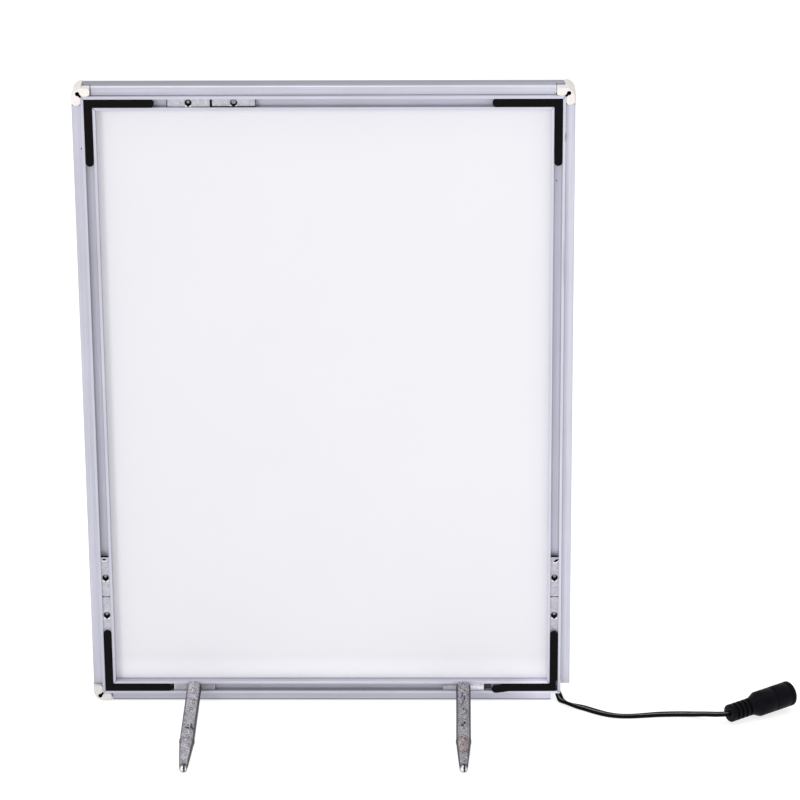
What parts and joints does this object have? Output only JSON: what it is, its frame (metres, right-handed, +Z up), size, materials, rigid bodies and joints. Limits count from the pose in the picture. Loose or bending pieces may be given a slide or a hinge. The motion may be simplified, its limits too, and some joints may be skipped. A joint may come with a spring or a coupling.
{
  "type": "led snap-frame light box",
  "caption": "Slim edge-lit snap-frame light box on screw-in rod legs: mitred channel frame, flip-open rails, corner keys, sliding nut plates, light sheets and a short cord with a barrel socket.",
  "frame": {"origin": "on the table, below the middle of the box's bounding box without its cord", "axes": "+X to the right seen from behind, +Y from the legs towards the lit face, +Z up"},
  "size_m": [0.3655, 0.107, 0.3354],
  "materials": {
    "anodised_aluminium": "satin anodised extrusion",
    "spring_steel": "plain spring leaf",
    "cap_plastic": "fine grained moulding",
    "key_plastic": "matt moulding",
    "plate_steel": "zinc plated",
    "stud_steel": "threaded, plated",
    "leg_steel": "worn dull plating with marks",
    "ball_chrome": "polished ball",
    "panel_white": "smooth white sheet",
    "reflector_white": "white film",
    "acrylic": "clear acrylic with polished edges",
    "diffuser_white": "opal film",
    "clear_sheet": "clear anti-glare sheet",
    "board_white": "white solder mask",
    "chip_yellow": "phosphor",
    "wire_red": "insulated wire",
    "cord_black": "smooth flat twin cord",
    "housing_black": "satin moulding",
    "contact_steel": "plated contact",
    "contact_brass": "plated pin"
  },
  "bodies": {
    "frame": {"base_profile_top": "anodised_aluminium", "base_profile_bottom": "anodised_aluminium", "base_profile_left": "anodised_aluminium", "base_profile_right": "anodised_aluminium", "rail_springs_top": "spring_steel", "rail_springs_bottom": "spring_steel", "rail_springs_left": "spring_steel", "rail_springs_right": "spring_steel", "corner_cap_top_left": "cap_plastic", "corner_cap_top_right": "cap_plastic", "corner_cap_bottom_left": "cap_plastic", "corner_key_top_left": "key_plastic", "corner_key_top_right": "key_plastic", "corner_key_bottom_left": "key_plastic", "corner_key_bottom_right": "key_plastic", "back_panel": "panel_white", "reflector_sheet": "reflector_white", "light_guide": "acrylic", "diffuser_sheet": "diffuser_white", "cover_sheet": "clear_sheet", "led_board_left": "board_white", "led_board_right": "board_white", "led_chips_left": "chip_yellow", "led_chips_right": "chip_yellow", "lead_wires": "wire_red", "link_wires": "wire_red", "power_cord": "cord_black", "socket_housing": "housing_black", "socket_insert": "housing_black", "socket_sleeve": "contact_steel", "socket_pin": "contact_brass"},
    "rail_top": {"snap_rail_top": "anodised_aluminium"},
    "rail_bottom": {"snap_rail_bottom": "anodised_aluminium"},
    "rail_left": {"snap_rail_left": "anodised_aluminium"},
    "rail_right": {"snap_rail_right": "anodised_aluminium"},
    "nut_top_first": {"spare_nut_top_first": "plate_steel"},
    "nut_top_second": {"spare_nut_top_second": "plate_steel"},
    "nut_left_lower": {"spare_nut_left_lower": "plate_steel"},
    "nut_left_upper": {"spare_nut_left_upper": "plate_steel"},
    "nut_right_lower": {"spare_nut_right_lower": "plate_steel"},
    "nut_right_upper": {"spare_nut_right_upper": "plate_steel"},
    "leg_slider_left": {"leg_nut_left": "plate_steel"},
    "screw_leg_left": {"leg_left": "leg_steel", "leg_stud_left": "stud_steel", "leg_ball_left": "ball_chrome"},
    "leg_slider_right": {"leg_nut_right": "plate_steel"},
    "screw_leg_right": {"leg_right": "leg_steel", "leg_stud_right": "stud_steel", "leg_ball_right": "ball_chrome"}
  },
  "joints": [
    {"name": "top_rail_hinge", "type": "hinge", "parent": "frame", "child": "rail_top", "pos_m": [0, 0.02188, 0.33176], "axis": [1, 0, 0], "range_deg": [0, 90], "deforming": ["rail_springs_top"]},
    {"name": "bottom_rail_hinge", "type": "hinge", "parent": "frame", "child": "rail_bottom", "pos_m": [0, 0.04413, 0.00311], "axis": [-1, 0, 0], "range_deg": [0, 90], "deforming": ["rail_springs_bottom"]},
    {"name": "left_rail_hinge", "type": "hinge", "parent": "frame", "child": "rail_left", "pos_m": [-0.1212, 0.03301, 0.16743], "axis": [0, -0.0676, 0.9977], "range_deg": [0, 90], "deforming": ["rail_springs_left"]},
    {"name": "right_rail_hinge", "type": "hinge", "parent": "frame", "child": "rail_right", "pos_m": [0.1212, 0.03301, 0.16743], "axis": [0, 0.0676, -0.9977], "range_deg": [0, 90], "deforming": ["rail_springs_right"]},
    {"name": "left_leg_slide", "type": "slide", "parent": "frame", "child": "leg_slider_left", "axis": [1, 0, 0], "range_m": [-0.001, 0.055]},
    {"name": "right_leg_slide", "type": "slide", "parent": "frame", "child": "leg_slider_right", "axis": [1, 0, 0], "range_m": [-0.06, 0.0035]},
    {"name": "left_leg_turn", "type": "hinge", "parent": "leg_slider_left", "child": "screw_leg_left", "pos_m": [-0.0714, 0.03988, 0.00828], "axis": [0, -0.9977, -0.0676], "range_deg": [0, 360]},
    {"name": "right_leg_turn", "type": "hinge", "parent": "leg_slider_right", "child": "screw_leg_right", "pos_m": [0.0688, 0.03988, 0.00828], "axis": [0, -0.9977, -0.0676], "range_deg": [0, 360]},
    {"name": "top_first_nut_slide", "type": "slide", "parent": "frame", "child": "nut_top_first", "axis": [1, 0, 0], "range_m": [-0.006, 0.05]},
    {"name": "top_second_nut_slide", "type": "slide", "parent": "nut_top_first", "child": "nut_top_second", "axis": [1, 0, 0], "range_m": [-0.001, 0.058]},
    {"name": "left_lower_nut_slide", "type": "slide", "parent": "frame", "child": "nut_left_lower", "axis": [0, -0.0676, 0.9977], "range_m": [0, 0.1]},
    {"name": "left_upper_nut_slide", "type": "slide", "parent": "nut_left_lower", "child": "nut_left_upper", "axis": [0, -0.0676, 0.9977], "range_m": [0, 0.1]},
    {"name": "right_lower_nut_slide", "type": "slide", "parent": "frame", "child": "nut_right_lower", "axis": [0, -0.0676, 0.9977], "range_m": [0, 0.1]},
    {"name": "right_upper_nut_slide", "type": "slide", "parent": "nut_right_lower", "child": "nut_right_upper", "axis": [0, -0.0676, 0.9977], "range_m": [0, 0.1]}
  ]
}
